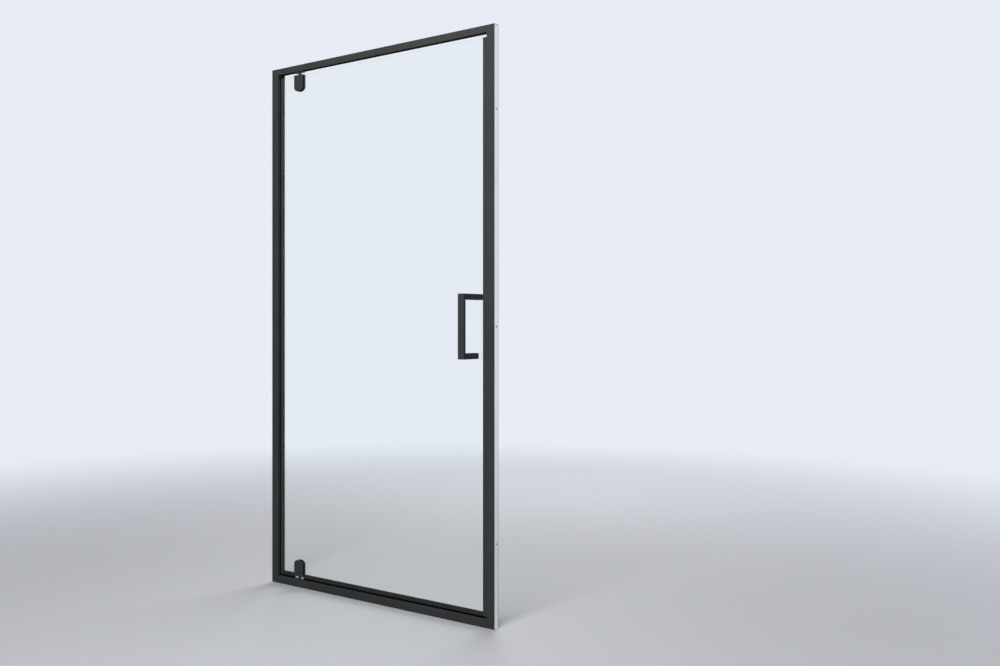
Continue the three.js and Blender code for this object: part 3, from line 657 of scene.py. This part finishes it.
# Edge trims: black coated extrusions that grip the pane's upright edges and hold a soft seal in a
# groove. The hinge edge has a hollow bulb with moulded ends, and the strike edge a magnet strip
# that meets the jamb's.
for edge in ("hinge", "strike"):
    node = f"{edge}_edge_trim"
    rounded_copy(f"coated_{node}", node, "door", upright_black, radius=0.0004)
# the bulb seal and its moulded ends are near black, partly black rubber and partly painted shade
# for the dark gap beside the hinge trim and above it
upright_rubber_painted_shade = flexible("upright_rubber_painted_shade", *black_with_painted_shade, along="z")
for name, node, rubber in (
    ("soft_bulb_seal", "hinge_edge_seal", upright_rubber_painted_shade),
    ("soft_closing_seal", "door_magnet_seal", strip_rubber_painted_light_and_shade),
):
    rounded_copy(name, node, "door", rubber, radius=0.0004, steps=3)
finished("door_magnet", magnet_strip)


# Bottom seal: black rubber pushed on to the pane's lower edge on both sides of the hinge block,
# with a thin fin that wipes the threshold and sends the water back inside.
level_rubber = flexible(
    "level_rubber", (0.024, 0.025, 0.025), (0.034, 0.0355, 0.0355), along="x"
)
for part in ("short", "long"):
    node = f"bottom_seal_{part}"
    rounded_copy(f"soft_{node}", node, "door", level_rubber, radius=0.0003)


# Hinge blocks: two cast halves clamp the pane through rubber gaskets. A nylon cup in their core
# turns on the pivot pin, and two screws from the inside draw the halves together.
CLAMP_SCREW = {
    "head": "flat",
    "head_radius": 0.0046,
    "head_height": 0.0022,
    "shank_radius": 0.0025,
    "pitch": 0.0008,
}
for level in ("lower", "upper"):
    for half in ("outer", "inner"):
        node = f"{level}_{half}_clamp"
        rounded_copy(
            f"coated_{node}",
            node,
            "door",
            hardware_black,
            radius=0.0007,
            steps=3,
        )
        # the gaskets share the near-black rubber with its painted shade
        finished(f"{level}_{half}_gasket", upright_rubber_painted_shade)
    finished(f"{level}_pivot_bush", black_nylon)
    clamp_screws = [f"{level}_clamp_screw_{i}" for i in (1, 2)]
    set_screws(f"{level}_clamp_screws", "door", clamp_screws, (0, 1, 0), **CLAMP_SCREW)


# Handle: a flat bar bent into a square D and bolted through the pane. Inside, the upper fixing ends
# in a short square knob and the lower one in a flat cap. Black nylon pads and sleeves keep the
# metal off the glass.
HANDLE_BOLT = {
    "head": "flat",
    "head_radius": 0.005,
    "head_height": 0.0025,
    "shank_radius": 0.003,
    "pitch": 0.001,
}
for name, node in {"handle": "pull_handle", "knob": "inner_knob", "cap": "inner_cap"}.items():
    rounded_copy(
        f"coated_{name}",
        node,
        "door",
        hardware_black,
        radius=0.0005,
        steps=3,
        wary=False,
    )
for level in ("upper", "lower"):
    finished(f"{level}_handle_pad", black_nylon)
    finished(f"{level}_handle_sleeve", black_nylon)
finished("upper_handle_stud", steel)
set_screws("handle_bolt", "door", ["lower_handle_bolt"], (0, 1, 0), **HANDLE_BOLT)


# Studio: a pale floor that fades into a plain pale background, a soft lamp high in front of the
# strike side, a broader one behind the door, and even light from all round. None of it is part of
# the door.
BACKGROUND = (0.80, 0.835, 0.91, 1)
EVEN_LIGHT = 0.2


def seen(tree):
    """1 for the rays that show the background: the camera's, and those metal and glass pass on."""
    path = wire(tree, "ShaderNodeLightPath", {}).outputs
    direct = {0: path["Is Camera Ray"], 1: path["Is Glossy Ray"]}
    direct = wire(tree, "ShaderNodeMath", direct, operation="MAXIMUM").outputs[0]
    passed = {0: direct, 1: path["Is Transmission Ray"]}
    return wire(tree, "ShaderNodeMath", passed, operation="MAXIMUM").outputs[0]


world = bpy.data.worlds.new("studio")
scene.world = world
world.use_nodes = True
sky = world.node_tree
sky.nodes.clear()
light = wire(sky, "ShaderNodeBackground", {"Color": (1, 1, 1, 1), "Strength": EVEN_LIGHT})
picture = wire(sky, "ShaderNodeBackground", {"Color": BACKGROUND, "Strength": 1.0})
inputs = {0: seen(sky), 1: light.outputs[0], 2: picture.outputs[0]}
either = wire(sky, "ShaderNodeMixShader", inputs)
wire(sky, "ShaderNodeOutputWorld", {"Surface": either.outputs[0]})

FLOOR_RADIUS = 40
FLOOR_DROP = 0.0005  # under the threshold, so that the two faces aren't one
FADE_START, FADE_END = 0.9, 4.8  # metres from the middle of the door
disc = bmesh.new()
bmesh.ops.create_circle(disc, cap_ends=True, segments=96, radius=FLOOR_RADIUS)
floor_mesh = bpy.data.meshes.new("floor")
disc.to_mesh(floor_mesh)
disc.free()
floor = bpy.data.objects.new("floor", floor_mesh)
floor.location.z = -FLOOR_DROP
scene.collection.objects.link(floor)
floor_paint, tree, coordinates = new_material("floor_paint")
speckle = noise(tree, coordinates, lumps=300, detail=2)
inputs = {
    "Base Color": blended(tree, speckle, (0.47, 0.48, 0.505), (0.5, 0.51, 0.535)),
    "Roughness": 0.6,
}
paint = wire(tree, "ShaderNodeBsdfPrincipled", inputs)
far = wire(tree, "ShaderNodeEmission", {"Color": BACKGROUND, "Strength": 1.0})
distance = wire(tree, "ShaderNodeVectorMath", {0: coordinates}, operation="LENGTH")
inputs = {"Value": distance.outputs["Value"], "From Min": FADE_START, "From Max": FADE_END}
fade = wire(tree, "ShaderNodeMapRange", inputs, interpolation_type="SMOOTHSTEP")
inputs = {0: fade.outputs["Result"], 1: seen(tree)}
share = wire(tree, "ShaderNodeMath", inputs, operation="MULTIPLY")
inputs = {0: share.outputs[0], 1: paint.outputs[0], 2: far.outputs[0]}
show(tree, wire(tree, "ShaderNodeMixShader", inputs).outputs[0])
floor.data.materials.append(floor_paint)

for name, place, aim, side, watts in (
    ("key_lamp", (1.0, -2.0, 2.5), (0.2, 0, 1.2), 1.4, 86),
    ("back_lamp", (-0.9, 2.6, 2.4), (0, 0, 1.0), 2.0, 75),
):
    lamp = bpy.data.objects.new(name, bpy.data.lights.new(name, "AREA"))
    lamp.data.shape = "SQUARE"
    lamp.data.size = side
    lamp.data.energy = watts
    lamp.location = place
    lamp.rotation_euler = (Vector(place) - Vector(aim)).to_track_quat("Z", "Y").to_euler()
    lamp.visible_camera = lamp.visible_glossy = False
    scene.collection.objects.link(lamp)
